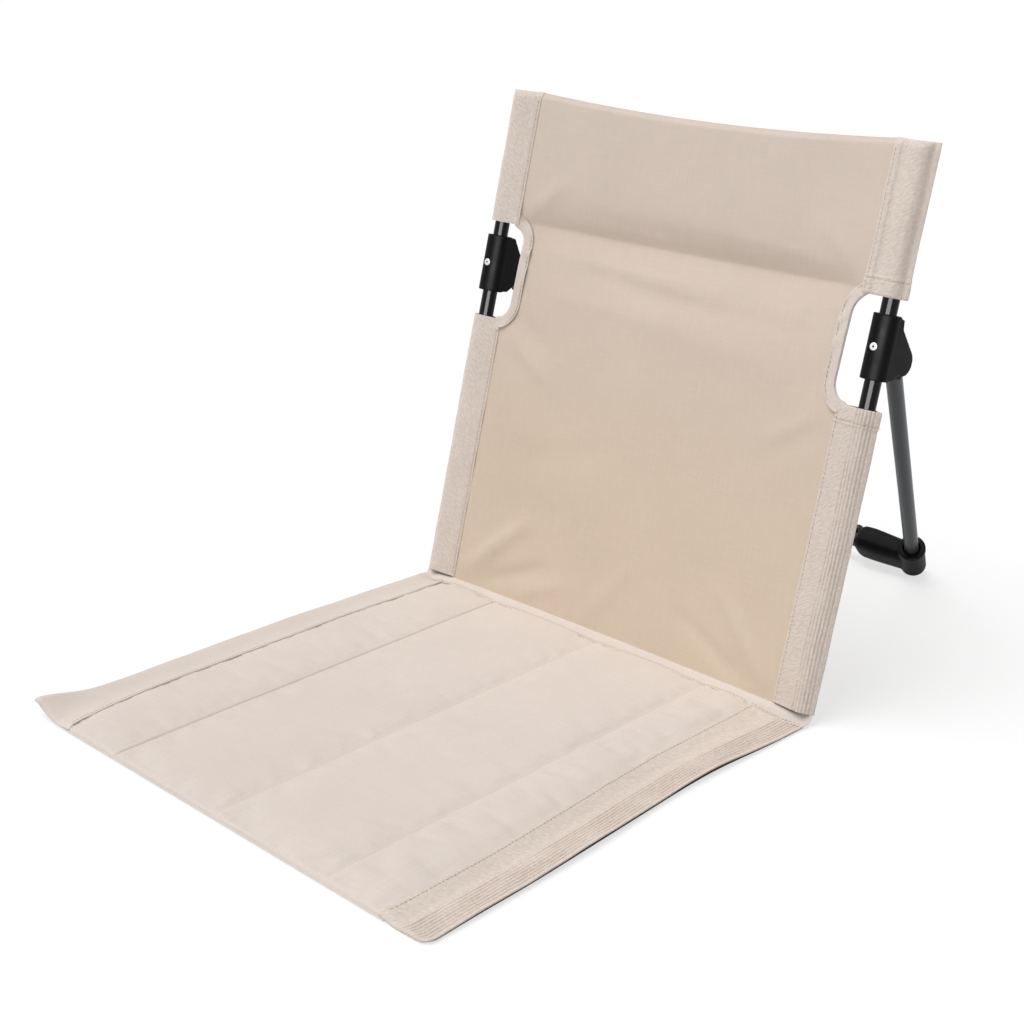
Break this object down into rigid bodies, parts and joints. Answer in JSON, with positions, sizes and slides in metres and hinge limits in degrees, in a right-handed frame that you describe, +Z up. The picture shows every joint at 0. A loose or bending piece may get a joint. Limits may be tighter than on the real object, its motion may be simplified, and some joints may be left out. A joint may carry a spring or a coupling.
{
  "type": "folding floor chair",
  "caption": "Low folding ground chair: padded canvas seat mat that lies on the floor, canvas back on steel side tubes, and a splayed rear leg frame that folds flat against the back.",
  "frame": {"origin": "middle of the seat mat's underside, on the floor", "axes": "+X to the right as seen from the front, +Y to the rear, +Z up"},
  "size_m": [0.42, 0.7371, 0.4288],
  "materials": {
    "seat_canvas": "beige woven canvas, matt",
    "back_canvas": "beige woven canvas, matt",
    "strip_canvas": "beige twill tape with rows of stitching",
    "underside_cloth": "dark coated cloth",
    "foam": "open foam, hidden",
    "black_steel": "gloss black enamel",
    "grey_steel": "gloss dark grey enamel",
    "black_plastic": "satin moulded plastic",
    "bright_rivet": "bright plated",
    "pin_steel": "plain steel"
  },
  "bodies": {
    "seat": {"seat_base_cloth": "underside_cloth", "seat_foam_pads": "foam", "seat_top_cover": "seat_canvas", "seat_left_hem": "strip_canvas", "seat_right_hem": "strip_canvas", "seat_rear_band": "seat_canvas"},
    "back": {"left_back_tube": "black_steel", "right_back_tube": "black_steel", "tube_top_plugs": "black_plastic", "tube_bottom_plugs": "black_plastic", "left_connector": "black_plastic", "right_connector": "black_plastic", "connector_rivets": "bright_rivet", "pivot_pins": "pin_steel", "back_panel": "back_canvas", "left_cutout_binding": "strip_canvas", "right_cutout_binding": "strip_canvas", "left_lower_sleeve": "strip_canvas", "right_lower_sleeve": "strip_canvas", "left_upper_sleeve": "strip_canvas", "right_upper_sleeve": "strip_canvas"},
    "legs": {"left_leg_tube": "grey_steel", "right_leg_tube": "grey_steel", "left_leg_knuckle": "black_plastic", "right_leg_knuckle": "black_plastic", "left_foot_elbow": "black_plastic", "right_foot_elbow": "black_plastic", "crossbar_tube": "grey_steel", "crossbar_buttons": "black_plastic"}
  },
  "joints": [
    {"name": "back_fold", "type": "hinge", "parent": "seat", "child": "back", "pos_m": [0, 0.198, 0.0082], "axis": [1, 0, 0], "range_deg": [-75.9, 104.1]},
    {"name": "leg_fold", "type": "hinge", "parent": "back", "child": "legs", "pos_m": [0, 0.29555, 0.26724], "axis": [1, 0, 0], "range_deg": [-56.2, 0]}
  ]
}
